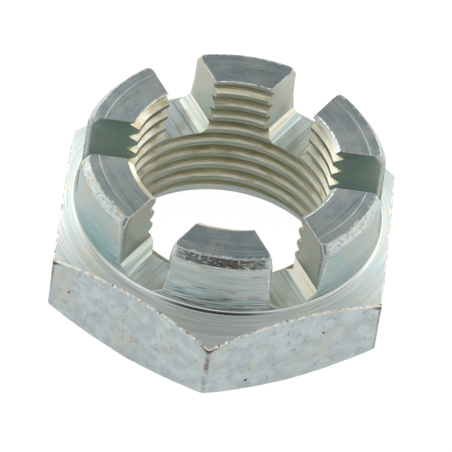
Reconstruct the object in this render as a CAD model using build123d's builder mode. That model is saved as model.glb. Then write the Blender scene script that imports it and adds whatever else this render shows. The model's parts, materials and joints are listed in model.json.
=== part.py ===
from build123d import *
import os
from math import ceil, cos, hypot, radians, tan

# An axle nut: a hexagon nut with a round turned crown, and six slots in the crown for a split pin.
# All lengths are in millimetres and all angles in degrees.
# The origin is at the centre of the bearing face, and +Z runs along the thread towards the crown.

# Hexagon, with the bearing face turned a little smaller than its flats
side_count = 6
across_flats = 30.0
corner_round = 0.4
bearing_setback = 0.2
bearing_chamfer_angle = 24.0

# Crown, turned on the same axis and set in from the flats
total_height = 14.6
shoulder_height = 8.35
shoulder_angle = 26.0
crown_setback = 1.0
crown_root_round = 0.5
crown_chamfer_width = 0.55
crown_chamfer_height = 0.8

# Thread, M20 with a fine pitch
thread_diameter = 20.0
thread_pitch = 1.5
thread_flank_angle = 30.0
thread_start_height = 0.13

# Countersinks at both ends of the thread
top_countersink_width = 0.45
top_countersink_angle = 90.0
bottom_countersink_width = 1.3
bottom_countersink_angle = 60.0

# Slots, milled to just above the crown's root with a cutter whose corners are bevelled
slot_count = 6
slot_width = 4.8
slot_floor_rise = 0.25
slot_corner_width = 1.05
slot_corner_height = 0.8
merlon_edge_round = 0.4

# The tap's teeth start a little inside the bore, so that they leave no skin on the thread's crests,
# and it runs some turns past each end.
tap_overlap = 0.15
tap_overrun_turns = 1

# Worked out from the values above. The hole for the tap is drilled one pitch smaller than the thread.
half_side_angle = 180 / side_count
flat_radius = across_flats / 2
corner_radius = flat_radius / cos(radians(half_side_angle))
bearing_radius = flat_radius - bearing_setback
crown_radius = flat_radius - crown_setback
minor_radius = (thread_diameter - thread_pitch) / 2
shoulder_drop = (corner_radius - crown_radius) * tan(radians(shoulder_angle))
bearing_rise = (corner_radius - bearing_radius) * tan(radians(bearing_chamfer_angle))
top_countersink_depth = top_countersink_width / tan(radians(top_countersink_angle / 2))
bottom_countersink_depth = bottom_countersink_width / tan(radians(bottom_countersink_angle / 2))
slot_floor_height = shoulder_height + slot_floor_rise
slot_wall_foot = slot_floor_height + slot_corner_height

# The metric thread profile has a flat root at the nominal diameter, an eighth of the pitch wide.
thread_root_radius = thread_diameter / 2
thread_root_flat = thread_pitch / 8
tap_inner_radius = minor_radius - tap_overlap
tap_mouth = thread_root_flat + 2 * (thread_root_radius - tap_inner_radius) * tan(radians(thread_flank_angle))
tap_turns = ceil(total_height / thread_pitch) + 2 * tap_overrun_turns

# Each plane faces outwards along one slot, with its Y up the thread's axis.
slot_planes = [Plane.YZ.rotated((0, 0, i * 360 / slot_count)) for i in range(slot_count)]

with BuildPart() as axle_nut:
    # The blank is hexagon bar, with two flats square to X and its corners a little rounded.
    with BuildSketch() as hexagon:
        RegularPolygon(flat_radius, side_count, major_radius=False, rotation=half_side_angle)
        fillet(hexagon.vertices(), radius=corner_round)
    extrude(amount=total_height)

    # Turning leaves only what lies inside this outline: the chamfer under the hexagon,
    # the sloping shoulder over it and the round crown, with a small round at its root.
    with BuildSketch(Plane.XZ) as turned_outline:
        with BuildLine():
            Polyline(
                (0, 0),
                (bearing_radius, 0),
                (corner_radius, bearing_rise),
                (corner_radius, shoulder_height - shoulder_drop),
                (crown_radius, shoulder_height),
                (crown_radius, total_height - crown_chamfer_height),
                (crown_radius - crown_chamfer_width, total_height),
                (0, total_height),
                close=True,
            )
        make_face()
        crown_root = turned_outline.vertices().sort_by_distance((crown_radius, shoulder_height))[0]
        fillet(crown_root, radius=crown_root_round)
    revolve(axis=Axis.Z, mode=Mode.INTERSECT)

    # The bore, drilled to the thread's minor diameter, and its two countersinks
    with BuildSketch(Plane.XZ):
        with BuildLine():
            Polyline(
                (0, 0),
                (minor_radius + bottom_countersink_width, 0),
                (minor_radius, bottom_countersink_depth),
                (minor_radius, total_height - top_countersink_depth),
                (minor_radius + top_countersink_width, total_height),
                (0, total_height),
                close=True,
            )
        make_face()
    revolve(axis=Axis.Z, mode=Mode.SUBTRACT)

    # The thread is one right-hand groove along a helix, and the tap cuts it a turn at a time.
    for turn in range(tap_turns):
        with BuildPart(mode=Mode.PRIVATE) as tap_turn:
            with BuildLine() as root_line:
                turn_start = (0, 0, thread_start_height + (turn - tap_overrun_turns) * thread_pitch)
                Helix(pitch=thread_pitch, height=thread_pitch, radius=thread_root_radius, center=turn_start)
            with BuildSketch(Plane.XZ.shift_origin(turn_start)) as tap_tooth:
                with BuildLine():
                    Polyline(
                        (thread_root_radius, -thread_root_flat / 2),
                        (thread_root_radius, thread_root_flat / 2),
                        (tap_inner_radius, tap_mouth / 2),
                        (tap_inner_radius, -tap_mouth / 2),
                        close=True,
                    )
                make_face()
            sweep(path=root_line.line, is_frenet=True)
        add(tap_turn.part, mode=Mode.SUBTRACT)

    # Each slot runs out from the axis through the crown's wall.
    with BuildSketch(*slot_planes):
        with BuildLine():
            Polyline(
                (-slot_width / 2, total_height),
                (-slot_width / 2, slot_wall_foot),
                (slot_corner_width - slot_width / 2, slot_floor_height),
                (slot_width / 2 - slot_corner_width, slot_floor_height),
                (slot_width / 2, slot_wall_foot),
                (slot_width / 2, total_height),
                close=True,
            )
        make_face()
    extrude(amount=corner_radius, mode=Mode.SUBTRACT)

    # The slot walls' outer edges, along the crown's wall and over its chamfer, are eased by hand.
    slot_walls = axle_nut.faces().filter_by(Plane.XY, reverse=True).filter_by(GeomType.PLANE)
    slot_walls = slot_walls.filter_by(lambda wall: wall.center().Z > slot_wall_foot)
    merlon_edges = slot_walls.edges().filter_by(
        lambda edge: hypot(edge.center().X, edge.center().Y) > crown_radius - crown_chamfer_width
    )
    fillet(merlon_edges, radius=merlon_edge_round)

axle_nut.part.label = "axle_nut"
os.makedirs("parts", exist_ok=True)
export_step(axle_nut.part, "parts/axle_nut.step")
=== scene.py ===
# %% [markdown]
# An axle nut holds a wheel's hub on its stub axle. This one is cut from hexagon bar: the flats are for the
# spanner, the round crown is turned, and six slots across the crown take a split pin that stops the nut
# from turning back. It is made of mild steel and plated with bright zinc.
#
# The lesson follows the nut through the workshop. The bar is turned, the slots are milled, the hole is
# tapped with a fine thread, and the finished piece is plated. Each step is one short cell, made with bmesh
# operators.

import json
import math

import bmesh
import bpy
from mathutils import Euler, Matrix, Vector, noise


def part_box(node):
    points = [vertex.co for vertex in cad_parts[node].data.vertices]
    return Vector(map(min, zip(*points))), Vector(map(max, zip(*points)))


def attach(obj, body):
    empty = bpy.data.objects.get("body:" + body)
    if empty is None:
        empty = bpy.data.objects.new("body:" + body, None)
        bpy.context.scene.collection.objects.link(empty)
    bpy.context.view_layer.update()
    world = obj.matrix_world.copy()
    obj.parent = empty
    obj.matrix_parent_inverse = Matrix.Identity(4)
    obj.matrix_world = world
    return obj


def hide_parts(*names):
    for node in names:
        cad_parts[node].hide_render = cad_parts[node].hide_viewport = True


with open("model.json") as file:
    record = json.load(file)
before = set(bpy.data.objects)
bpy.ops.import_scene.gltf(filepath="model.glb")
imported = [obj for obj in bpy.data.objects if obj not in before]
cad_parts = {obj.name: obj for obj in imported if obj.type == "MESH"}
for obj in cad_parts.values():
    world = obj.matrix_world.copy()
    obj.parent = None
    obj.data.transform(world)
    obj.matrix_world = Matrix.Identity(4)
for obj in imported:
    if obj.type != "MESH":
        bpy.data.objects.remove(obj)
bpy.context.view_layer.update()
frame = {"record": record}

# %% [markdown]
# Everything in the scene is in metres, but a nut is a thing of millimetres. The shapes are therefore
# modelled in millimetres and brought to metres once, at the end. Colours are written as they would be
# picked on a screen, and one function turns them to the linear values that the shaders want.

# %% Units, colours and nodes
MM = 0.001


def linear(colour):
    """The linear red, green, blue and alpha of an sRGB hex colour."""
    shares = [int(colour[i : i + 2], 16) / 255 for i in (1, 3, 5)]
    return (*[s / 12.92 if s <= 0.04045 else ((s + 0.055) / 1.055) ** 2.4 for s in shares], 1.0)


def add(tree, kind, settings=None, inputs=None):
    """Adds one node. An input is a plain value, a hex colour, an output, or a node for its first output."""
    node = tree.nodes.new(kind)
    for name, value in (settings or {}).items():
        setattr(node, name, value)
    for name, value in (inputs or {}).items():
        if isinstance(value, bpy.types.Node):
            value = next(output for output in value.outputs if output.enabled)
        if isinstance(value, bpy.types.NodeSocket):
            tree.links.new(value, node.inputs[name])
        else:
            node.inputs[name].default_value = linear(value) if isinstance(value, str) else value
    return node


print("a middle grey, #808080, is", round(linear("#808080")[0], 3), "of the light that white gives back")

# %% [markdown]
# The photograph was taken from above at nearly 44 degrees, through a long lens, with the camera rolled a
# little. Setting the camera first means that every later step can be judged in the picture that it is made
# for.

# %% Camera
EYE = Vector((-5.32, -379.58, 370.55)) * MM
LOOK_DOWN = 43.87
TURN = -0.82
ROLL = 8.53
SENSOR_WIDTH = 36.0
FOCAL_LENGTH = 458.5

camera = bpy.data.objects.new("camera", bpy.data.cameras.new("camera"))
bpy.context.scene.collection.objects.link(camera)
aim = Euler((math.radians(90 - LOOK_DOWN), 0, math.radians(TURN))).to_matrix()
camera.matrix_world = Matrix.Translation(EYE) @ (aim @ Matrix.Rotation(math.radians(ROLL), 3, "Z")).to_4x4()
camera.data.sensor_width = SENSOR_WIDTH
camera.data.lens = FOCAL_LENGTH
bpy.context.scene.camera = camera
print(f"camera {EYE.length / MM:.0f} mm from the nut, lens {FOCAL_LENGTH} mm")

# %% [markdown]
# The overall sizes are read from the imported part, so the finished mesh can't drift from it. The others are
# the sizes that a turner would be given: chamfers, setbacks from the flats and the section of the slots.
# A pair is a size across and a size upright.

# %% Sizes in millimetres
low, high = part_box("axle_nut")
flat_radius = high.x / MM
total_height = (high.z - low.z) / MM
thread_mount = next(mount for mount in frame["record"]["mounts"] if mount["name"] == "thread")
minor_radius = thread_mount["dims"]["r_mm"]

SIDES = 6
SIDE_ANGLE = 2 * math.pi / SIDES
corner_radius = flat_radius / math.cos(SIDE_ANGLE / 2)
CORNER_ROUND = 0.4

BEARING_SETBACK = 0.2
BEARING_SLOPE = math.tan(math.radians(24))
SHOULDER_HEIGHT = 8.35
SHOULDER_SLOPE = math.tan(math.radians(26))
CROWN_SETBACK = 1.0
CROWN_ROOT_ROUND = 0.5
CROWN_CHAMFER = (0.55, 0.8)

FACING_RING_RADIUS = 12.42
FACING_RING = (0.07, 0.024)

TOP_COUNTERSINK_WIDTH = 0.45
BOTTOM_COUNTERSINK_WIDTH = 1.3
BOTTOM_COUNTERSINK_SLOPE = 1 / math.tan(math.radians(30))

SLOT_WIDTH = 4.8
SLOT_FLOOR = SHOULDER_HEIGHT + 0.25
SLOT_CORNER = (1.05, 0.8)
MERLON_ROUND = 0.5

bearing_radius = flat_radius - BEARING_SETBACK
crown_radius = flat_radius - CROWN_SETBACK
slot_wall_foot = SLOT_FLOOR + SLOT_CORNER[1]
print(f"across flats {2 * flat_radius:.2f}, height {total_height:.2f}, minor radius {minor_radius:.2f}")

# %% [markdown]
# The nut is one piece of steel, but four tools made its surface, and each left its own marks. The bar's
# flats come from the rolling mill, the crown and shoulder from the lathe, the slots from the milling cutter
# and the thread from the tap. Each face is given the number of its finish as it is cut, so that the looks
# follow later.

# %% The finishes
# Two finishes are painted light: painted shade on the thread's crests and a painted highlight on their upper
# edges.
ROLLED, TURNED, ROOTED, FACED, KNOCKED, MILLED, DRILLED, TAPPED, SALTED, EASED, WORN = range(11)
finishes = [bpy.data.materials.new(name) for name in (
    "zinc_on_rolled_flats", "zinc_on_turned_steel", "zinc_on_crown_root", "zinc_on_faced_crown",
    "zinc_on_knocked_chamfer", "zinc_on_milled_slots", "zinc_painted_shade_on_drilled_crests", "zinc_on_tapped_thread",
    "painted_highlight_on_crest_edges", "zinc_on_eased_edges", "zinc_on_worn_edges")]
print(len(finishes), "finishes")

# %% [markdown]
# A few small helpers are shared by all the cuts. One takes a tool's shape out of the nut, as the real tool
# does, one slices with bisect_plane and one rounds edges. Two places that are nearer than 0.01 mm count as
# the same.

# %% Helpers for the cuts
NEAR = 0.01
ON_PLANE = 1e-5


def report(step, shape):
    """Prints what a step made. A solid that is closed has no open edge."""
    open_edges = sum(not edge.is_manifold for edge in shape.edges)
    triangles = sum(len(face.verts) - 2 for face in shape.faces)
    print(f"{step}: {triangles} triangles, {open_edges} open edges, {shape.calc_volume():.0f} cubic mm")


def as_object(name, shape):
    """Puts a bmesh in the scene as an object with all the finishes, and frees it."""
    mesh = bpy.data.meshes.new(name)
    shape.to_mesh(mesh)
    shape.free()
    for finish in finishes:
        mesh.materials.append(finish)
    piece = bpy.data.objects.new(name, mesh)
    bpy.context.scene.collection.objects.link(piece)
    return piece


def cut(piece, tool):
    """Takes the tool's shape out of the piece. The new faces keep the tool's finish."""
    step = piece.modifiers.new("cut", "BOOLEAN")
    step.operation = "DIFFERENCE"
    step.solver = "EXACT"
    step.material_mode = "INDEX"
    step.object = tool
    bpy.context.view_layer.update()
    result = bpy.data.meshes.new_from_object(piece.evaluated_get(bpy.context.evaluated_depsgraph_get()))
    piece.modifiers.clear()
    piece.data = result
    bpy.data.objects.remove(tool)


def slice_off(shape, point, outward):
    """Takes off what lies beyond a plane through a point, and gives back the faces that close the cut."""
    everything = shape.verts[:] + shape.edges[:] + shape.faces[:]
    bmesh.ops.bisect_plane(shape, geom=everything, dist=ON_PLANE, plane_co=point, plane_no=outward,
                           clear_outer=True)
    rim = [edge for edge in shape.edges
           if edge.is_boundary and all(abs((v.co - point).dot(outward)) < NEAR for v in edge.verts)]
    return bmesh.ops.holes_fill(shape, edges=rim, sides=0)["faces"]


def radius(vertex):
    """Distance of a vertex from the thread's axis."""
    return vertex.co.xy.length


def ease(shape, edges, width, segments, finish=-1):
    """Rounds edges over a width measured along the faces beside them. The new faces may get a finish."""
    bmesh.ops.bevel(shape, geom=edges, offset=width, offset_type="OFFSET", segments=segments, profile=0.5,
                    affect="EDGES", clamp_overlap=False, material=finish)


print("lengths in these cells are in millimetres")

# %% [markdown]
# A lathe makes whatever a flat outline sweeps when it turns about an axis, and spin does the same. The
# outline has the bearing face, the chamfer under the hexagon, the sloping shoulder and the crown, and on
# its inner side the drilled hole with its two countersinks. The round at the crown's root is the tip of the
# turning tool, and the shallow ring on the top face is where the facing tool stopped. A face's tilt, the
# upward part of its direction, tells which cut it belongs to: 1 is level and 0 is upright.

# %% Turn the blank
TURN_STEPS = 480
ROOT_STEPS = 6
FACED_TILT = 0.9
FACED_BAND = 0.1
ROOT_TILTS = (0.05, 0.85)
BLANK_RADIUS = corner_radius + 0.7
DRILL_RADIUS = minor_radius - 0.75

top_countersink = minor_radius + TOP_COUNTERSINK_WIDTH
bottom_countersink = minor_radius + BOTTOM_COUNTERSINK_WIDTH
outline = [
    (bottom_countersink, 0),
    (bearing_radius, 0),
    (BLANK_RADIUS, (BLANK_RADIUS - bearing_radius) * BEARING_SLOPE),
    (BLANK_RADIUS, SHOULDER_HEIGHT - (BLANK_RADIUS - crown_radius) * SHOULDER_SLOPE),
    (crown_radius, SHOULDER_HEIGHT),
    (crown_radius, total_height - CROWN_CHAMFER[1]),
    (crown_radius - CROWN_CHAMFER[0], total_height),
    (FACING_RING_RADIUS + FACING_RING[0], total_height),
    (FACING_RING_RADIUS, total_height - FACING_RING[1]),
    (FACING_RING_RADIUS - FACING_RING[0], total_height),
    (top_countersink, total_height),
    (DRILL_RADIUS, total_height - (top_countersink - DRILL_RADIUS)),
    (DRILL_RADIUS, (bottom_countersink - DRILL_RADIUS) * BOTTOM_COUNTERSINK_SLOPE),
]
blank = bmesh.new()
points = [blank.verts.new((r, 0, z)) for r, z in outline]
lines = [blank.edges.new(pair) for pair in zip(points, points[1:] + points[:1])]
bmesh.ops.spin(blank, geom=points + lines, cent=(0, 0, 0), axis=(0, 0, 1), angle=2 * math.pi,
               steps=TURN_STEPS, use_merge=True)
bmesh.ops.recalc_face_normals(blank, faces=blank.faces[:])

root_ring = [
    edge for edge in blank.edges
    if all(abs(radius(v) - crown_radius) < NEAR and abs(v.co.z - SHOULDER_HEIGHT) < NEAR for v in edge.verts)
]
root_half_turn = (math.pi / 2 - math.atan(SHOULDER_SLOPE)) / 2
ease(blank, root_ring, CROWN_ROOT_ROUND * math.tan(root_half_turn), ROOT_STEPS)
for face in blank.faces:
    middle = face.calc_center_median()
    beyond_crown = middle.xy.length - crown_radius
    face.material_index = TURNED
    if abs(face.normal.z) > FACED_TILT and middle.z > total_height - FACED_BAND:
        face.material_index = FACED
    elif middle.z > total_height - CROWN_CHAMFER[1] and middle.xy.length > FACING_RING_RADIUS:
        face.material_index = KNOCKED
    elif ROOT_TILTS[0] < face.normal.z < ROOT_TILTS[1] and 0 < beyond_crown < CROWN_ROOT_ROUND:
        face.material_index = ROOTED
report("turned blank", blank)

# %% [markdown]
# In the shop the bar is a hexagon before it is turned. Here the blank is turned first and then six flats
# are sliced off by planes. The result is the same, and where a plane cuts the sloping shoulder it
# leaves the curved scallops that every chamfered nut shows.

# %% Cut the six flats
CORNER_STEPS = 3
UPRIGHT_TILT = 1e-3

for side in range(SIDES):
    outward = Vector((math.cos(side * SIDE_ANGLE), math.sin(side * SIDE_ANGLE), 0))
    for face in slice_off(blank, outward * flat_radius, outward):
        face.material_index = ROLLED

corners = [edge for edge in blank.edges if all(face.material_index == ROLLED for face in edge.link_faces)]
ease(blank, corners, CORNER_ROUND * math.tan(SIDE_ANGLE / 2), CORNER_STEPS)
for face in blank.faces:
    if abs(face.normal.z) < UPRIGHT_TILT and face.calc_center_median().xy.length > crown_radius + NEAR:
        face.material_index = ROLLED
report("hexagon", blank)
nut = as_object("axle_nut_finished", blank)

# %% [markdown]
# A milling cutter runs right across the crown, so three passes make six slots. The cutter's corners are
# bevelled, and they leave a sloping strip along each side of the slot's floor. The cutter here is the same
# section, drawn once and extruded across the nut.

# %% Mill the slots
CUTTER_OVERRUN = 1.0

half_slot = SLOT_WIDTH / 2
cutter_reach = corner_radius + 2 * CUTTER_OVERRUN
cutter_top = total_height + CUTTER_OVERRUN
cutter_section = [
    (-half_slot, cutter_top),
    (-half_slot, slot_wall_foot),
    (SLOT_CORNER[0] - half_slot, SLOT_FLOOR),
    (half_slot - SLOT_CORNER[0], SLOT_FLOOR),
    (half_slot, slot_wall_foot),
    (half_slot, cutter_top),
]
for cutting_pass in range(SIDES // 2):
    cutter = bmesh.new()
    section = cutter.faces.new([cutter.verts.new((-cutter_reach, y, z)) for y, z in cutter_section])
    swept = bmesh.ops.extrude_face_region(cutter, geom=[section])["geom"]
    far_end = [item for item in swept if isinstance(item, bmesh.types.BMVert)]
    bmesh.ops.translate(cutter, verts=far_end, vec=(2 * cutter_reach, 0, 0))
    turned = Matrix.Rotation(cutting_pass * SIDE_ANGLE, 3, "Z")
    bmesh.ops.rotate(cutter, verts=cutter.verts[:], cent=(0, 0, 0), matrix=turned)
    bmesh.ops.recalc_face_normals(cutter, faces=cutter.faces[:])
    for face in cutter.faces:
        face.material_index = MILLED
    cut(nut, as_object("slot_cutter", cutter))
print(SIDES, "slots,", SLOT_WIDTH, "mm wide, milled in", SIDES // 2, "passes")

# %% [markdown]
# Milling leaves edges that would cut a finger, so they are eased before plating. The upright edges of each
# merlon, the tooth between two slots, are rounded most. The lathe's narrow facets beside them are dissolved
# first, because a bevel that is wider than the face beside it folds over itself.

# %% Round the merlons' upright edges
FACET_ANGLE = math.radians(0.15)
FACET_MARGIN = 0.15
CROWN_MARGIN = 0.05
ABOVE_ROOT = 0.2
MERLON_STEPS = 5


def off_slot(point):
    """Distance of a point from the middle plane of the nearest slot."""
    angle = math.atan2(point.y, point.x)
    angle -= round(angle / SIDE_ANGLE) * SIDE_ANGLE
    return abs(point.xy.length * math.sin(angle))


def is_milled_off(edge):
    """Whether a slot's wall meets the turned crown at this edge."""
    kinds = {face.material_index for face in edge.link_faces}
    return MILLED in kinds and len(kinds) == 2


def is_turned(edge):
    """Whether the lathe made the faces on both sides of this edge."""
    return all(face.material_index in (TURNED, ROOTED, FACED, KNOCKED) for face in edge.link_faces)


def rises(edge):
    """Whether one end of this edge is higher than the other."""
    return abs(edge.verts[0].co.z - edge.verts[1].co.z) > NEAR


crown = bmesh.new()
crown.from_mesh(nut.data)
bmesh.ops.dissolve_limit(crown, angle_limit=FACET_ANGLE, verts=crown.verts[:], edges=crown.edges[:],
                         delimit={"MATERIAL"})
inner_limit = crown_radius - CROWN_CHAMFER[0] - CROWN_MARGIN
upright_turn = math.pi / 2 + math.asin(half_slot / crown_radius)
upright_width = MERLON_ROUND * math.tan(upright_turn / 2)
beside_slots = [
    edge for edge in crown.edges
    if is_turned(edge) and rises(edge)
    and all(inner_limit < radius(v) < crown_radius + NEAR for v in edge.verts)
    and all(v.co.z > SHOULDER_HEIGHT + ABOVE_ROOT for v in edge.verts)
    and 0 < off_slot((edge.verts[0].co + edge.verts[1].co) / 2) - half_slot < upright_width + FACET_MARGIN
]
bmesh.ops.dissolve_edges(crown, edges=beside_slots, use_verts=True)
uprights = [
    edge for edge in crown.edges
    if is_milled_off(edge) and rises(edge)
    and all(radius(v) > inner_limit and v.co.z > slot_wall_foot - NEAR for v in edge.verts)
]
print(len(uprights), "upright edges")
ease(crown, uprights, upright_width, MERLON_STEPS, TURNED)
report("merlons rounded", crown)

# %% [markdown]
# Every other sharp outer edge gets a narrow round. It can hardly be seen as a shape, but it is what catches
# the light: an edge with no width has nothing to shine with. The edges round the flats are the most worn,
# because they knock against other nuts in the plating barrel.

# %% Ease the other sharp edges
CROWN_EDGE_WIDTH = 0.1
HOLE_EDGE_WIDTH = 0.08
HEXAGON_EDGE_WIDTH = 0.15
EDGE_STEPS = 3
SHARP_ANGLE = math.radians(22)
HOLE_MARGIN = 0.2

outside_hole = top_countersink - HOLE_MARGIN
sharp = [
    edge for edge in crown.edges
    if edge.is_manifold and edge.is_convex and edge.calc_face_angle() > SHARP_ANGLE
    and all(radius(v) > outside_hole for v in edge.verts)
]
on_hexagon = [edge for edge in sharp if all(radius(v) > crown_radius + HOLE_MARGIN for v in edge.verts)]
hole_limit = top_countersink + HOLE_MARGIN / 2
round_hole = [edge for edge in sharp if all(radius(v) < hole_limit for v in edge.verts)]
elsewhere = set(on_hexagon + round_hole)
on_crown = [edge for edge in sharp if edge not in elsewhere]
ease(crown, on_crown, CROWN_EDGE_WIDTH, EDGE_STEPS, EASED)
for edges, width in ((round_hole, HOLE_EDGE_WIDTH), (on_hexagon, HEXAGON_EDGE_WIDTH)):
    ease(crown, [edge for edge in edges if edge.is_valid], width, EDGE_STEPS, WORN)
report("edges eased", crown)
crown.to_mesh(nut.data)
crown.free()

# %% [markdown]
# The thread is M20 with a fine pitch of 1.5 mm. Its ridges are 60 degree triangles with their tips cut flat
# at the drilled hole and their roots a little rounded by the tap. A zigzag line is spun about the axis
# while it climbs one pitch a turn, and each turn lands on the next and merges with it, which makes the tap
# as a solid.

# %% Cut the thread
PITCH = 1.5
FLANK_ANGLE = math.radians(30)
ROOT_FLAT = PITCH / 20
ROOT_RADIUS = 10.1
ROOT_HEIGHT = 0.13
TIP_ROUND = 0.1
THREAD_STEPS = 240
TAP_TURNS = 14
TAP_OVERRUN = 1.0
MERGE_DISTANCE = 1e-4
CREST_BAND = 0.05
CREST_EDGE_TILT = -0.1

flank = (ROOT_RADIUS - minor_radius) * math.tan(FLANK_ANGLE)
tap = bmesh.new()
lowest_root = ROOT_HEIGHT - 2 * PITCH
zigzag = []
for turn in range(TAP_TURNS):
    root = lowest_root + turn * PITCH
    for r, z in ((minor_radius, -ROOT_FLAT / 2 - flank), (ROOT_RADIUS, -ROOT_FLAT / 2),
                 (ROOT_RADIUS, ROOT_FLAT / 2), (minor_radius, ROOT_FLAT / 2 + flank)):
        zigzag.append(tap.verts.new((r, 0, root + z)))
for pair in zip(zigzag, zigzag[1:]):
    tap.edges.new(pair)
bmesh.ops.bevel(tap, geom=zigzag[1:-1], offset=TIP_ROUND, offset_type="OFFSET", segments=2, profile=0.5,
                affect="VERTICES", clamp_overlap=True, material=-1)
print(len(tap.verts), "points in the zigzag")
bmesh.ops.spin(tap, geom=tap.verts[:] + tap.edges[:], cent=(0, 0, 0), axis=(0, 0, 1),
               dvec=(0, 0, PITCH / THREAD_STEPS), angle=2 * math.pi, steps=THREAD_STEPS, use_merge=False)
bmesh.ops.remove_doubles(tap, verts=tap.verts[:], dist=MERGE_DISTANCE)
for height, upward in ((-TAP_OVERRUN, -1), (total_height + TAP_OVERRUN, 1)):
    slice_off(tap, Vector((0, 0, height)), Vector((0, 0, upward)))
bmesh.ops.recalc_face_normals(tap, faces=tap.faces[:])
for face in tap.faces:
    face.material_index = TAPPED
    if face.calc_center_median().xy.length < minor_radius + CREST_BAND:
        # Crest faces take the painted shade, and the crests' upward edges take the painted highlight.
        face.material_index = SALTED if face.normal.z < CREST_EDGE_TILT else DRILLED
report("tap", tap)
cut(nut, as_object("tap", tap))

whole = bmesh.new()
whole.from_mesh(nut.data)
report("tapped nut", whole)

# %% [markdown]
# Barrel plating, and a box full of other nuts, leave the edges ragged. Each vertex in the middle of a
# rounded edge is knocked in along its normal by a smooth random amount. The edge's outer vertices stay, so
# the faces beside it aren't bent, and the nut never grows out of its true size.

# %% Wear the edges
WEAR_DEPTHS = {EASED: 0.03, WORN: 0.1}
WEAR_GRAIN = 0.9
WEAR_ROUGHNESS = 0.6
WEAR_STEP = 2.2
WEAR_OCTAVES = 3
WEAR_EVERYWHERE = 0.05

whole.normal_update()
moves = {}
for vertex in whole.verts:
    beside = {face.material_index for face in vertex.link_faces}
    if beside <= set(WEAR_DEPTHS) and radius(vertex) > outside_hole:
        knock = noise.fractal(vertex.co / WEAR_GRAIN, WEAR_ROUGHNESS, WEAR_STEP, WEAR_OCTAVES)
        share = max(0.0, knock + WEAR_EVERYWHERE)
        moves[vertex] = vertex.normal * share * max(WEAR_DEPTHS[number] for number in beside)
for vertex, move in moves.items():
    vertex.co -= move
for vertex in whole.verts:
    vertex.co.x = min(max(vertex.co.x, -flat_radius), flat_radius)
    vertex.co.z = min(vertex.co.z, total_height)
deepest = max(move.length for move in moves.values())
print(f"{len(moves)} vertices in the middle of edges, knocked in by up to {deepest:.3f} mm")

# %% [markdown]
# Curved faces are shaded smooth and real edges stay sharp. Each corner of a face takes the mean direction of
# the faces that meet there and lie within 35 degrees of it. A large face counts for more than a small one,
# so the flats and the shoulder stay true right up to their eased edges.

# %% Shade the nut
SMOOTH_LIMIT = 35.0

whole.normal_update()
least_alike = math.cos(math.radians(SMOOTH_LIMIT))
facings = {face: face.normal * face.calc_area() for face in whole.faces}
corner_normals = []
for face in whole.faces:
    face.smooth = True
    for corner in face.loops:
        beside = corner.vert.link_faces
        alike = [facings[other] for other in beside if other.normal.dot(face.normal) > least_alike]
        corner_normals.append(sum(alike, Vector()).normalized())
print(len(corner_normals), "corners, edges sharper than", SMOOTH_LIMIT, "degrees stay sharp")

# %% [markdown]
# The shape is finished, so it is brought from millimetres to metres.

# %% Bring the nut to metres
bmesh.ops.scale(whole, vec=(MM, MM, MM), verts=whole.verts[:])
whole.to_mesh(nut.data)
whole.free()
nut.data.normals_split_custom_set(corner_normals)
print(len(nut.data.polygons), "faces,", round(nut.dimensions.x / MM, 3), "mm across flats")

# %% [markdown]
# Bright zinc is laid on from a bath and then dipped in a clear passivate. The film is thinner than a
# wavelength of light in places, so the pale grey metal drifts between blue-green and straw gold. The turned
# steel and the knocked chamfer share this drift, and it is drawn here once. The patterns are placed in the
# nut's own millimetres.
# The inputs of a Map Range node are its value (0), where its share starts and is full (1 and 2) and the
# shares there (3 and 4).

# %% Shared looks: the passivated zinc
SOFT = {"interpolation_type": "SMOOTHSTEP"}


def start(finish):
    """Empties a finish and gives back its nodes and the shaded point in millimetres."""
    finish.use_nodes = True
    tree = finish.node_tree
    tree.nodes.clear()
    where = add(tree, "ShaderNodeTexCoord")
    return tree, add(tree, "ShaderNodeVectorMath", {"operation": "SCALE"},
                     {0: where.outputs["Object"], "Scale": 1 / MM})


def patches(tree, place, size, detail, low, high, step=(0, 0, 0)):
    """A random share in patches of a size in mm, 0 below low and 1 above high, moved by a step."""
    there = add(tree, "ShaderNodeVectorMath", {"operation": "ADD"}, {0: place, 1: step})
    cloud = add(tree, "ShaderNodeTexNoise", None, {"Vector": there, "Scale": 1 / size, "Detail": detail})
    return add(tree, "ShaderNodeMapRange", SOFT, {0: cloud, 1: low, 2: high})


def layered(tree, base, *films):
    """Lays films over a base colour. Each is a colour and the shares that say where it shows."""
    for colour, shown, *others in films:
        for other in others:
            shown = add(tree, "ShaderNodeMath", {"operation": "MULTIPLY"}, {0: shown, 1: other})
        base = add(tree, "ShaderNodeMix", {"data_type": "RGBA"}, {0: shown, 6: base, 7: colour})
    return base


def passivated(tree, place, plain, strength):
    """A plain zinc colour, drifting into blue-green and straw gold."""
    return layered(tree, plain,
                   ("#a6cccf", patches(tree, place, 4.2, 1, 0.48, 0.66), strength),
                   ("#d9cda6", patches(tree, place, 3.6, 1, 0.52, 0.7, (31, 17, 5)), strength))


def plated(finish, roughness, colour, height, depth, others=None):
    """Ends a finish as a metal with a colour and bumps of a depth in mm. Others are more of its values."""
    tree = finish.node_tree
    bumps = add(tree, "ShaderNodeBump", None, {"Height": height, "Strength": 1.0, "Distance": depth * MM})
    shader = add(tree, "ShaderNodeBsdfPrincipled", None, {
        "Base Color": colour, "Metallic": 1.0, "Roughness": roughness, "Normal": bumps, **(others or {})})
    add(tree, "ShaderNodeOutputMaterial", None, {"Surface": shader})
    print(f"{finish.name}: roughness {roughness}, bumps {depth} mm, {len(tree.nodes)} nodes")


# %% [markdown]
# The flats are as the rolling mill left them. Scale was pressed into the hot bar and pickled off again, so
# under the zinc the steel is a little rough. The coating is softly mottled, with dull brown specks and a
# few dark pits, and along the upright corners, which knock against everything, it has gone and the steel
# has turned brown.

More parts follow.
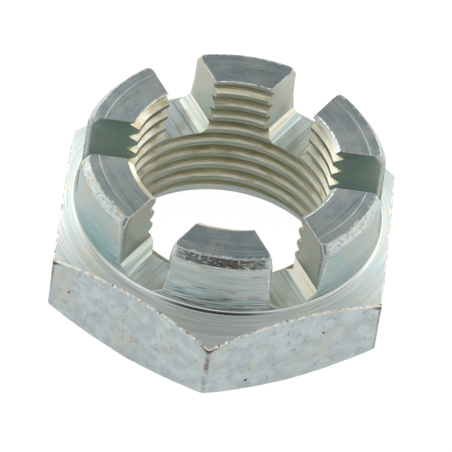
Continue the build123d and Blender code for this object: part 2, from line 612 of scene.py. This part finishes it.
# %% Rolled flats
RUST_START = corner_radius - 0.17
RUST_FULL = corner_radius - 0.06
RUST_HEIGHTS = (-2.0, SHOULDER_HEIGHT - 1.0)
TIP_LEAN = 0.7
TIP_START = 0.6
TIP_FULL = 0.25

corner_tip = corner_radius + TIP_LEAN * (SHOULDER_HEIGHT - (corner_radius - crown_radius) * SHOULDER_SLOPE)


def measured(tree, place):
    """The shaded point's distance from the thread's axis, and its height, in millimetres."""
    flat = add(tree, "ShaderNodeVectorMath", {"operation": "MULTIPLY"}, {0: place, 1: (1, 1, 0)})
    up_axis = add(tree, "ShaderNodeSeparateXYZ", None, {0: place}).outputs["Z"]
    return add(tree, "ShaderNodeVectorMath", {"operation": "LENGTH"}, {0: flat}), up_axis


tree, place = start(finishes[ROLLED])
from_axis, up_axis = measured(tree, place)
near_tip = add(tree, "ShaderNodeMath", {"operation": "MULTIPLY_ADD"},
               {0: up_axis, 1: TIP_LEAN, 2: from_axis})
at_tip = add(tree, "ShaderNodeMapRange", SOFT,
             {0: near_tip, 1: corner_tip - TIP_START, 2: corner_tip - TIP_FULL})
at_corner = add(tree, "ShaderNodeMapRange", SOFT, {0: from_axis, 1: RUST_START, 2: RUST_FULL})
high_up = add(tree, "ShaderNodeMapRange", SOFT, {0: up_axis, 1: RUST_HEIGHTS[0], 2: RUST_HEIGHTS[1]})
pits = patches(tree, place, 0.6, 0, 0.825, 0.85, (0, 7, 3))
colour = layered(tree, "#bdc8c9",
                 ("#cfdadc", patches(tree, place, 1.2, 4, 0.34, 0.66)),
                 ("#cccec5", patches(tree, place, 3.0, 2, 0.5, 0.75, (9, 4, 0))),
                 ("#abb1af", patches(tree, place, 0.55, 3, 0.54, 0.78, (5, 1, 8))),
                 ("#a29a8f", patches(tree, place, 0.5, 2, 0.68, 0.82)),
                 ("#4f4b44", pits),
                 ("#6a594a", at_corner, patches(tree, place, 0.9, 3, 0.3, 0.62, (2, 2, 6)), high_up),
                 ("#5a4a3f", at_tip))
peel = add(tree, "ShaderNodeTexNoise", None,
           {"Vector": place, "Scale": 1.3, "Detail": 5.0, "Roughness": 0.55})
relief = add(tree, "ShaderNodeMath", {"operation": "SUBTRACT"}, {0: peel, 1: pits})
plated(finishes[ROLLED], 0.4, colour, relief, 0.025)

# %% [markdown]
# A turning tool leaves a fine groove like a record's. The pattern is therefore read in rings: slowly round
# the axis and fast along the outline of the cut. The grooves also stretch each reflection across
# themselves, which the shader's anisotropy does.

# %% Rings round the axis
def rings(tree, place, along, across):
    """Draws a pattern's place out round the axis, with sizes along and across the rings in millimetres."""
    from_axis, up_axis = measured(tree, place)
    flat = add(tree, "ShaderNodeVectorMath", {"operation": "MULTIPLY"}, {0: place, 1: (1, 1, 0)})
    heading = add(tree, "ShaderNodeVectorMath", {"operation": "NORMALIZE"}, {0: flat})
    around = add(tree, "ShaderNodeVectorMath", {"operation": "SCALE"},
                 {0: heading, "Scale": crown_radius / along})
    outline_place = add(tree, "ShaderNodeMath", {"operation": "SUBTRACT"}, {0: from_axis, 1: up_axis})
    ring = add(tree, "ShaderNodeMath", {"operation": "DIVIDE"}, {0: outline_place, 1: across})
    lifted = add(tree, "ShaderNodeCombineXYZ", None, {"Z": ring})
    return add(tree, "ShaderNodeVectorMath", {"operation": "ADD"}, {0: around, 1: lifted})


def ringed(tree, place, along, across, detail, low, high, step=(0, 0, 0)):
    """Patches that are drawn out round the axis, with sizes along and across the rings in millimetres."""
    return patches(tree, rings(tree, place, along, across), 1.0, detail, low, high, step)


def grooved(tree, stretch):
    """The shader's values for reflections that are stretched across grooves round the axis."""
    around = add(tree, "ShaderNodeTangent", {"direction_type": "RADIAL", "axis": "Z"})
    return {"Tangent": around, "Anisotropic": stretch, "Anisotropic Rotation": 0.25}


print("a pattern is drawn out along rings of radius", crown_radius)

# %% [markdown]
# The real feed of the lathe is about 0.1 mm a turn, one pixel of the picture, and the grooves are drawn a
# little coarser so that they show. The bar ran out of true, so the tool rubbed on one side of the crown,
# and there it tore short dark streaks in the soft steel, most of them near the root. The wall is also
# painted a darker blue-grey, a little all round and most on its front side, which is painted shade. The
# passivate drained down the crown's wall and to its left, so its blue-green lies low and to the left, and
# its gold high up.

# %% Turned crown and shoulder
TOOL_FEED = 0.16
WALL_BAND = 0.15
TORN_FROM = 8.6
TORN_TO = 12.0
MORE_TORN_LOW = 0.16
RUBBED_FROM = -9.0
RUBBED_TO = -12.5
RUBBED_SHARES = (0.25, 0.85)
FILM_TOP = total_height - 0.8
FILM_SHARES = (0.15, 0.9)
GOLD_FROM = 10.0

tree, place = start(finishes[TURNED])
from_axis, up_axis = measured(tree, place)
at_wall = add(tree, "ShaderNodeMath", {"operation": "COMPARE"},
              {0: from_axis, 1: crown_radius, 2: WALL_BAND})
on_crown = add(tree, "ShaderNodeMath", {"operation": "GREATER_THAN"}, {0: up_axis, 1: SHOULDER_HEIGHT})
on_wall = add(tree, "ShaderNodeMath", {"operation": "MULTIPLY"}, {0: at_wall, 1: on_crown})
low_down = add(tree, "ShaderNodeMapRange", SOFT, {0: up_axis, 1: TORN_TO, 2: TORN_FROM})
streaks = add(tree, "ShaderNodeTexNoise", None,
              {"Vector": rings(tree, place, 2.2, 0.09), "Scale": 1.0, "Detail": 2.0})
likely = add(tree, "ShaderNodeMath", {"operation": "MULTIPLY_ADD"},
             {0: low_down, 1: MORE_TORN_LOW, 2: streaks})
torn = add(tree, "ShaderNodeMapRange", SOFT, {0: likely, 1: 0.62, 2: 0.74})
x, y = add(tree, "ShaderNodeSeparateXYZ", None, {0: place}).outputs[:2]
# The front of the crown's wall, where the tears are and where painted shade darkens it.
rubbed = add(tree, "ShaderNodeMapRange", SOFT,
             {0: y, 1: RUBBED_FROM, 2: RUBBED_TO, 3: RUBBED_SHARES[0], 4: RUBBED_SHARES[1]})
torn_wall = add(tree, "ShaderNodeMath", {"operation": "MULTIPLY"}, {0: torn, 1: on_wall})
tears = add(tree, "ShaderNodeMath", {"operation": "MULTIPLY"}, {0: torn_wall, 1: rubbed})
off_wall = add(tree, "ShaderNodeMath", {"operation": "SUBTRACT"}, {0: 1.0, 1: on_wall})
lined = add(tree, "ShaderNodeMath", {"operation": "MAXIMUM"}, {0: off_wall, 1: rubbed})
low_film = add(tree, "ShaderNodeMapRange", SOFT, {0: up_axis, 1: FILM_TOP, 2: TORN_FROM})
high_film = add(tree, "ShaderNodeMapRange", SOFT, {0: up_axis, 1: GOLD_FROM, 2: total_height})
leftward = add(tree, "ShaderNodeMapRange", SOFT,
               {0: x, 1: crown_radius, 2: 0, 3: FILM_SHARES[0], 4: FILM_SHARES[1]})
colour = layered(tree, passivated(tree, place, "#bcc7c5", 0.6),
                 # The darker blue-grey, strongest on the front of the wall, is painted shade.
                 ("#a9babb", rubbed, on_wall),
                 ("#8fc1c5", patches(tree, place, 4.5, 1, 0.38, 0.6, (2, 30, 14)),
                  on_wall, low_film, leftward),
                 ("#d3cdb6", patches(tree, place, 3.5, 1, 0.45, 0.65, (4, 9, 2)), on_wall, high_film, 0.6),
                 ("#ced2ce", ringed(tree, place, 9.0, 0.5, 3, 0.3, 0.7), lined),
                 ("#b1b6b0", ringed(tree, place, 8.0, 0.2, 2, 0.5, 0.7), 0.6, lined),
                 ("#e4e8e6", ringed(tree, place, 6.0, 0.15, 2, 0.54, 0.7, (7, 0, 3)), 0.8, lined),
                 ("#5a5b53", tears))
coarse = ringed(tree, place, 12.0, 0.3, 2, 0.25, 0.75)
fine = ringed(tree, place, 6.0, TOOL_FEED, 2, 0.25, 0.75)
cut_lines = add(tree, "ShaderNodeMath", {"operation": "ADD"}, {0: coarse, 1: fine})
cut_deep = add(tree, "ShaderNodeMath", {"operation": "MULTIPLY"}, {0: cut_lines, 1: lined})
relief = add(tree, "ShaderNodeMath", {"operation": "SUBTRACT"}, {0: cut_deep, 1: tears})
plated(finishes[TURNED], 0.44, colour, relief, 0.005, grooved(tree, 0.62))

# %% [markdown]
# The round at the crown's root was rubbed by the tip of the tool. It is smoother than the wall and the
# shoulder, and it gathers a dark line and a bright line beside it.

# %% Root of the crown
tree, place = start(finishes[ROOTED])
colour = layered(tree, "#b3b8b2", ("#dde2e0", ringed(tree, place, 10.0, 0.14, 2, 0.35, 0.65)))
relief = ringed(tree, place, 8.0, 0.12, 2, 0.25, 0.75)
plated(finishes[ROOTED], 0.2, colour, relief, 0.006, grooved(tree, 0.5))

# %% [markdown]
# The crown's top was faced with a sharper tool and half the feed, so its rings are finer. They are drawn a
# little over 0.1 mm apart, because one pixel is about that. The film on it stays a slightly blue grey. A few
# faint scratches cross it and its outer edge is nicked all round, from lying in a box with its fellows.

# %% Faced crown
RIM_WIDTH = 0.45
NICK_DEPTH = 6.0
SCRATCH_HEADING = 0.9

faced_radius = crown_radius - CROWN_CHAMFER[0]
tree, place = start(finishes[FACED])
from_axis = measured(tree, place)[0]
rim = add(tree, "ShaderNodeMapRange", SOFT, {0: from_axis, 1: faced_radius - RIM_WIDTH, 2: faced_radius})
nicks = add(tree, "ShaderNodeMath", {"operation": "MULTIPLY"},
            {0: rim, 1: patches(tree, place, 0.3, 2, 0.52, 0.66, (6, 2, 9))})
crossing = add(tree, "ShaderNodeMapping", None,
               {"Vector": place, "Rotation": (0, 0, SCRATCH_HEADING), "Scale": (0.2, 4.0, 1.0)})
scratches = patches(tree, crossing, 1.0, 1, 0.72, 0.76)
colour = layered(tree, "#abbcbf",
                 ("#c4cfc9", patches(tree, place, 2.0, 4, 0.38, 0.62)),
                 ("#d3d6d4", patches(tree, place, 1.1, 3, 0.52, 0.74, (4, 4, 4)), 0.8),
                 ("#a5a6a0", patches(tree, place, 0.7, 3, 0.6, 0.76, (8, 1, 4)), 0.8),
                 ("#98b0bd", ringed(tree, place, 6.0, 0.8, 2, 0.52, 0.7, (3, 3, 3)), 0.6),
                 ("#cbd4d3", ringed(tree, place, 9.0, 0.2, 2, 0.45, 0.7), 0.8),
                 ("#cdd6d6", scratches),
                 ("#f4f7f4", nicks))
fine = ringed(tree, place, 8.0, 0.11, 2, 0.2, 0.8)
scratched = add(tree, "ShaderNodeMath", {"operation": "SUBTRACT"}, {0: fine, 1: scratches})
relief = add(tree, "ShaderNodeMath", {"operation": "MULTIPLY_ADD"}, {0: nicks, 1: NICK_DEPTH, 2: scratched})
plated(finishes[FACED], 0.32, colour, relief, 0.004, grooved(tree, 0.5))

# %% [markdown]
# The chamfer round the top is what a nut lands on. It is scratched straight up and down by whatever it slid
# past, and between the scratches it is dented and pecked, so its reflections are broken up. The dents are
# about 0.8 mm wide and the pecks 0.4 by 0.14 mm, as on the real nut. Some dents have kept a little dirt.
# Each kind of mark is listed with its height beside the dents, and the scores go inwards.

# %% Knocked chamfer
tree, place = start(finishes[KNOCKED])
relief = patches(tree, place, 0.8, 5, 0.25, 0.75)
scored = ringed(tree, place, 1.6, 0.1, 3, 0.5, 0.68)
upright = ringed(tree, place, 0.2, 4.0, 1, 0.69, 0.76)
pecked = ringed(tree, place, 0.4, 0.14, 2, 0.59, 0.7, (5, 2, 0))
colour = layered(tree, passivated(tree, place, "#d7dcd8", 0.4),
                 ("#a2a49d", scored, 0.6),
                 ("#8b918d", patches(tree, place, 0.3, 2, 0.46, 0.7, (1, 4, 9)), 0.6),
                 ("#c6aa78", patches(tree, place, 0.9, 3, 0.58, 0.72, (3, 8, 3)), 0.7),
                 ("#f4f6f4", pecked, 0.8),
                 ("#f4f6f4", upright, 0.8))
for marks, rise in ((upright, 0.8), (pecked, 0.55), (scored, -0.2)):
    relief = add(tree, "ShaderNodeMath", {"operation": "MULTIPLY_ADD"}, {0: marks, 1: rise, 2: relief})
plated(finishes[KNOCKED], 0.3, colour, relief, 0.024)

# %% [markdown]
# A milling cutter leaves straight strokes along each slot. The six slots share one pattern that is turned
# to each of them and moved on a little, so no two look the same.

# %% Strokes along the slots
SLOT_STEP = 7.3


def slot_heading(tree, place):
    """The angle of the nearest slot, and its number."""
    x, y = add(tree, "ShaderNodeSeparateXYZ", None, {0: place}).outputs[:2]
    angle = add(tree, "ShaderNodeMath", {"operation": "ARCTAN2"}, {0: y, 1: x})
    sides = add(tree, "ShaderNodeMath", {"operation": "DIVIDE"}, {0: angle, 1: SIDE_ANGLE})
    number = add(tree, "ShaderNodeMath", {"operation": "ROUND"}, {0: sides})
    return add(tree, "ShaderNodeMath", {"operation": "MULTIPLY"}, {0: number, 1: SIDE_ANGLE}), number


def strokes(tree, place, along, across):
    """Moves a pattern's place so that it is drawn out along the nearest slot."""
    heading, number = slot_heading(tree, place)
    back = add(tree, "ShaderNodeMath", {"operation": "MULTIPLY"}, {0: heading, 1: -1})
    level = add(tree, "ShaderNodeVectorRotate", {"rotation_type": "Z_AXIS"},
                {"Vector": place, "Angle": back})
    slot = add(tree, "ShaderNodeMath", {"operation": "FLOORED_MODULO"}, {0: number, 1: SIDES})
    moved_on = add(tree, "ShaderNodeMath", {"operation": "MULTIPLY"}, {0: slot, 1: SLOT_STEP})
    return add(tree, "ShaderNodeVectorMath", {"operation": "MULTIPLY_ADD"},
               {0: level, 1: (1 / along, 1 / across, 1 / across), 2: moved_on})


print("the strokes turn by", round(math.degrees(SIDE_ANGLE)), "degrees from slot to slot")

# %% [markdown]
# On the slot's walls the strokes are rubbed nearly smooth, and on its floor they show. A real stroke is
# finer than a pixel, so they are drawn in bundles, 0.16 to 0.7 mm wide. The nut hung in the bath with one
# pair of slots level, and the last of the passivate ran through those two and left them blue-green. It
# dried brownish on the walls at the back, and cream on the bevels, most of all on the right.

# %% Milled slots
DRIP_WIDTH = 3.0
DRIP_EDGE = 6.0
BEVEL_START = SLOT_FLOOR + 0.05
BEVEL_FULL = SLOT_FLOOR + 0.15
FLOOR_FADE = 0.1
SHOWN_ON_WALL = 0.15
SHOWN_MORE_ON_FLOOR = 0.45

tree, place = start(finishes[MILLED])
x, y, z = add(tree, "ShaderNodeSeparateXYZ", None, {0: place}).outputs
beside_axis = add(tree, "ShaderNodeMath", {"operation": "ABSOLUTE"}, {0: y})
dripped = add(tree, "ShaderNodeMapRange", SOFT, {0: beside_axis, 1: DRIP_EDGE, 2: DRIP_WIDTH})
low_down = add(tree, "ShaderNodeMapRange", SOFT, {0: z, 1: total_height, 2: slot_wall_foot})
on_bevel = add(tree, "ShaderNodeMapRange", SOFT, {0: z, 1: BEVEL_START, 2: BEVEL_FULL})
rightward = add(tree, "ShaderNodeMapRange", SOFT, {0: x, 1: -crown_radius, 2: DRIP_WIDTH})
at_back = add(tree, "ShaderNodeMapRange", SOFT, {0: y, 1: DRIP_EDGE, 2: minor_radius})
on_floor = add(tree, "ShaderNodeMapRange", SOFT,
               {0: z, 1: slot_wall_foot + FLOOR_FADE, 2: slot_wall_foot - FLOOR_FADE})
shown = add(tree, "ShaderNodeMath", {"operation": "MULTIPLY_ADD"},
            {0: on_floor, 1: SHOWN_MORE_ON_FLOOR, 2: SHOWN_ON_WALL})
low_on_wall = add(tree, "ShaderNodeMath", {"operation": "SUBTRACT", "use_clamp": True},
                  {0: low_down, 1: on_floor})
colour = layered(tree, "#c9c9bd",
                 ("#b0a898", patches(tree, place, 3.0, 2, 0.3, 0.6, (7, 3, 3)), at_back, rightward, 0.7),
                 ("#a3c4c3", patches(tree, place, 2.6, 2, 0.4, 0.66, (6, 6, 1)), low_on_wall, 0.7),
                 ("#dce8e4", patches(tree, place, 2.2, 2, 0.2, 0.45, (2, 8, 5)), on_floor),
                 ("#e6e1cc", rightward, on_bevel, on_floor),
                 ("#b3c8c3", patches(tree, place, 3.0, 1, 0.3, 0.55), dripped),
                 ("#a39a84", patches(tree, place, 1.8, 3, 0.55, 0.72, (1, 5, 2)), dripped, 0.4),
                 ("#d6d9d2", patches(tree, strokes(tree, place, 14.0, 0.5), 1.0, 2, 0.35, 0.65), shown),
                 ("#8fb0bb", patches(tree, strokes(tree, place, 11.0, 0.5), 1.0, 2, 0.5, 0.66), shown),
                 ("#d9d5b0", patches(tree, strokes(tree, place, 12.0, 0.7), 1.0, 3, 0.48, 0.72, (5, 1, 1)),
                  shown),
                 ("#9b997f", patches(tree, strokes(tree, place, 9.0, 0.25), 1.0, 2, 0.57, 0.72), shown))
lines = patches(tree, strokes(tree, place, 10.0, 0.16), 1.0, 2, 0.25, 0.75)
relief = add(tree, "ShaderNodeMath", {"operation": "MULTIPLY"}, {0: lines, 1: shown})
across_slot = add(tree, "ShaderNodeVectorRotate", {"rotation_type": "Z_AXIS"},
                  {"Vector": (0, 1, 0), "Angle": slot_heading(tree, place)[0]})
plated(finishes[MILLED], 0.38, colour, relief, 0.012, {"Tangent": across_slot, "Anisotropic": 0.7})

# %% [markdown]
# Inside the thread the passivate stays wet for longest, which turns it olive yellow. Towards the roots it is
# painted a darker olive, which is painted shade where the ridges shade each other. The film is thick enough
# there to scatter some light of its own, so the finish is a little less than metallic, and it is browner on
# the left. The tap tears the steel, and the flanks have streaks round the hole, drawn twice as wide as they
# are so that they show. The palest and finest of them are painted glints.

# %% Tapped thread
OLIVE_FROM = minor_radius + 0.3

tree, place = start(finishes[TAPPED])
from_axis = measured(tree, place)[0]
aside = add(tree, "ShaderNodeSeparateXYZ", None, {0: place}).outputs["X"]
leftward = add(tree, "ShaderNodeMapRange", SOFT, {0: aside, 1: -minor_radius / 2, 2: -minor_radius})
in_root = add(tree, "ShaderNodeMapRange", SOFT, {0: from_axis, 1: OLIVE_FROM, 2: ROOT_RADIUS})
colour = layered(tree, "#d3d1b5",
                 ("#e7e4d1", ringed(tree, place, 5.0, 0.25, 3, 0.3, 0.7)),
                 # These palest, finest streaks are painted glints.
                 ("#f6f2d6", ringed(tree, place, 3.0, 0.08, 2, 0.55, 0.68)),
                 ("#b9a684", patches(tree, place, 1.3, 2, 0.44, 0.64, (4, 4, 9)), leftward, 0.8),
                 ("#bbb088", ringed(tree, place, 4.0, 0.4, 2, 0.54, 0.74)),
                 # The darker olive towards the roots is painted shade.
                 ("#c6c9a8", in_root))
relief = ringed(tree, place, 2.4, 0.12, 2, 0.25, 0.75)
plated(finishes[TAPPED], 0.25, colour, relief, 0.012, {"Metallic": 0.6})

# %% [markdown]
# The flat crests are what the drill left, and the tap never touched them. They are painted a dull, dark
# grey-green, which is painted shade: the sheet under the hole that they mirror lies in the nut's shadow.
# On the upper edge of each crest a thin pale line is painted as a highlight. It is a matt white over the
# metal, so that finish is hardly metallic.

# %% Drilled crests with painted shade, and their edges with a painted highlight
# The dark grey-green of the crests is painted shade.
tree, place = start(finishes[DRILLED])
colour = layered(tree, "#8c9588", ("#a8b0a1", ringed(tree, place, 4.0, 0.2, 2, 0.3, 0.7)))
relief = ringed(tree, place, 2.0, 0.1, 2, 0.25, 0.75)
plated(finishes[DRILLED], 0.35, colour, relief, 0.006)

# The thin pale line on the crests' upper edges is a painted highlight.
tree, place = start(finishes[SALTED])
colour = layered(tree, "#d9ded2", ("#f2f4ea", ringed(tree, place, 2.0, 0.5, 3, 0.35, 0.65)))
grain = add(tree, "ShaderNodeTexNoise", None, {"Vector": place, "Scale": 4.0, "Detail": 3.0})
plated(finishes[SALTED], 0.6, colour, grain, 0.01, {"Metallic": 0.1})

# %% [markdown]
# The crown's eased edges are the same grey as the metal beside them, only smoother to the hand. The
# hexagon's edges and the rim of the hole are rubbed bright and ragged, with a few brown specks where the
# zinc has gone and dirt has caught.

# %% Eased and worn edges
tree, place = start(finishes[EASED])
colour = layered(tree, "#cbd1cd",
                 ("#a3a59d", patches(tree, place, 1.4, 4, 0.42, 0.66), 0.6),
                 ("#f4f4ee", patches(tree, place, 0.4, 2, 0.6, 0.68, (5, 5, 5)), 0.7))
grain = add(tree, "ShaderNodeTexNoise", None, {"Vector": place, "Scale": 2.0, "Detail": 4.0})
plated(finishes[EASED], 0.48, colour, grain, 0.04)

tree, place = start(finishes[WORN])
colour = layered(tree, "#efefe6",
                 ("#cbc8bc", patches(tree, place, 0.6, 3, 0.45, 0.62)),
                 ("#6f6455", patches(tree, place, 0.5, 3, 0.61, 0.7, (3, 1, 2))))
grain = add(tree, "ShaderNodeTexNoise", None, {"Vector": place, "Scale": 3.0, "Detail": 4.0})
plated(finishes[WORN], 0.3, colour, grain, 0.12)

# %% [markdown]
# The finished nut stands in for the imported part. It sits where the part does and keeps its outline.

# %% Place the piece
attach(nut, "root")
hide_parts("axle_nut")
print(nut.name, "replaces axle_nut")

# %% [markdown]
# The nut lies on a white sheet. The sheet is a plain matt paper to the lamps, so it takes the nut's shadow.
# To the camera it also glows up to white, and the metal has to mirror the same white sheet that the camera
# sees.

# %% Floor
FLOOR_SIZE = 4.0
FLOOR_DROP = 0.02
PAPER = "#f2f2f0"
GLOW_TO_CAMERA = 0.9
GLOW_IN_METAL = 0.45
GLOW = 1.08

floor_shape = bmesh.new()
bmesh.ops.create_grid(floor_shape, x_segments=1, y_segments=1, size=FLOOR_SIZE / 2)
floor_mesh = bpy.data.meshes.new("floor")
floor_shape.to_mesh(floor_mesh)
floor_shape.free()
floor = bpy.data.objects.new("floor", floor_mesh)
bpy.context.scene.collection.objects.link(floor)
floor.location.z = -FLOOR_DROP * MM

paper = bpy.data.materials.new("matt_white_paper")
paper.use_nodes = True
tree = paper.node_tree
tree.nodes.clear()
ray = add(tree, "ShaderNodeLightPath").outputs
seen = add(tree, "ShaderNodeMath", {"operation": "MULTIPLY"}, {0: ray["Is Camera Ray"], 1: GLOW_TO_CAMERA})
mirrored = add(tree, "ShaderNodeMath", {"operation": "MAXIMUM"},
               {0: ray["Is Glossy Ray"], 1: ray["Is Transmission Ray"]})
glowing = add(tree, "ShaderNodeMath", {"operation": "MULTIPLY_ADD"},
              {0: mirrored, 1: GLOW_IN_METAL, 2: seen})
matt = add(tree, "ShaderNodeBsdfDiffuse", None, {"Color": PAPER})
glow = add(tree, "ShaderNodeEmission", None, {"Strength": GLOW})
both = add(tree, "ShaderNodeMixShader", None, {0: glowing, 1: matt, 2: glow})
add(tree, "ShaderNodeOutputMaterial", None, {"Surface": both})
floor_mesh.materials.append(paper)
print(f"white sheet {FLOOR_SIZE} m wide, {FLOOR_DROP} mm under the nut")

# %% [markdown]
# Metal shows its surroundings more than its lamps. The room is white near the horizon and dimmer overhead,
# which makes the tops of the crown darker than its walls. One shade is the unlit end of the room in front,
# which the front chamfer mirrors, and the other hangs behind, where the flat tops mirror it. White screens
# stand behind the nut, to the left and to the right. Each level of the room has the height where it shows,
# from 0 at the horizon to 1 overhead. Each shade and screen has its azimuth, its elevation, its edge and
# its middle in degrees, and its level.

# %% Room
ROOM_LEVELS = ((0.0, 1.1), (0.2, 1.0), (0.45, 0.72), (0.69, 0.6), (0.84, 0.68), (1.0, 0.82))
SHADES = ((-90, 26, 42, 21, 0.95), (90, 43, 36, 12, 0.74))
SCREENS = ((130, 22, 40, 12, 1.28), (46, 24, 36, 10, 1.05), (75, 4, 25, 5, 0.3))

room = bpy.data.worlds.new("studio_room")
bpy.context.scene.world = room
room.use_nodes = True
tree = room.node_tree
tree.nodes.clear()
looking = add(tree, "ShaderNodeTexCoord").outputs["Generated"]
upward = add(tree, "ShaderNodeSeparateXYZ", None, {0: looking}).outputs["Z"]
levels = add(tree, "ShaderNodeValToRGB", None, {0: upward})
levels.color_ramp.interpolation = "EASE"
stops = levels.color_ramp.elements
for position, _ in ROOM_LEVELS[1:-1]:
    stops.new(position)
for stop, (position, level) in zip(stops, ROOM_LEVELS):
    stop.position = position
    stop.color = (level, level, level, 1)


def toward(azimuth, elevation, edge, middle, level):
    """A level that shows towards one direction. It fades out from the middle to the edge, angles off it."""
    turned, raised = math.radians(azimuth), math.radians(elevation)
    aim = (math.cos(turned) * math.cos(raised), math.sin(turned) * math.cos(raised), math.sin(raised))
    facing = add(tree, "ShaderNodeVectorMath", {"operation": "DOT_PRODUCT"}, {0: looking, 1: aim})
    return add(tree, "ShaderNodeMapRange", SOFT,
               {0: facing, 1: math.cos(math.radians(edge)), 2: math.cos(math.radians(middle)), 4: level})


light = levels.outputs[0]
for shade in SHADES:
    left_over = add(tree, "ShaderNodeMath", {"operation": "SUBTRACT"}, {0: 1.0, 1: toward(*shade)})
    light = add(tree, "ShaderNodeMath", {"operation": "MULTIPLY"}, {0: light, 1: left_over})
for screen in SCREENS:
    light = add(tree, "ShaderNodeMath", {"operation": "ADD"}, {0: light, 1: toward(*screen)})
sky = add(tree, "ShaderNodeBackground", None, {"Color": "#ffffff", "Strength": light})
add(tree, "ShaderNodeOutputWorld", None, {"Surface": sky})
print(f"room: {len(ROOM_LEVELS)} levels, {len(SHADES)} shades and {len(SCREENS)} screens")

# %% [markdown]
# Two large softboxes stand low at the sides. They light the sheet, and the metal mirrors the soft white
# screens of the room in their place, so that no hard edge of a lamp shows on the turned cone. A level of 1
# is a lamp whose face would show as white.

# %% Lamps
SOFTBOX_DISTANCE = 1.0
SOFTBOX_SIZE = (0.9, 0.7)
SOFTBOX_ELEVATION = 24
SOFTBOX_LEVEL = 1.0


def softbox(name, azimuth):
    """A soft lamp that stands beside the nut and faces it."""
    lamp = bpy.data.objects.new(name, bpy.data.lights.new(name, "AREA"))
    bpy.context.scene.collection.objects.link(lamp)
    lamp.data.shape = "RECTANGLE"
    lamp.data.size, lamp.data.size_y = SOFTBOX_SIZE
    lamp.data.energy = SOFTBOX_LEVEL * math.pi * SOFTBOX_SIZE[0] * SOFTBOX_SIZE[1]
    turned, raised = math.radians(azimuth), math.radians(SOFTBOX_ELEVATION)
    flat_part = math.cos(raised)
    away = Vector((math.cos(turned) * flat_part, math.sin(turned) * flat_part, math.sin(raised)))
    lamp.location = away * SOFTBOX_DISTANCE
    lamp.rotation_euler = away.to_track_quat("Z", "Y").to_euler()
    lamp.visible_glossy = False
    return lamp


softbox("left_softbox", 180)
softbox("right_softbox", 0)
bpy.context.scene.view_settings.view_transform = "Standard"
print("two softboxes,", SOFTBOX_SIZE, "m, raised by", SOFTBOX_ELEVATION, "degrees")
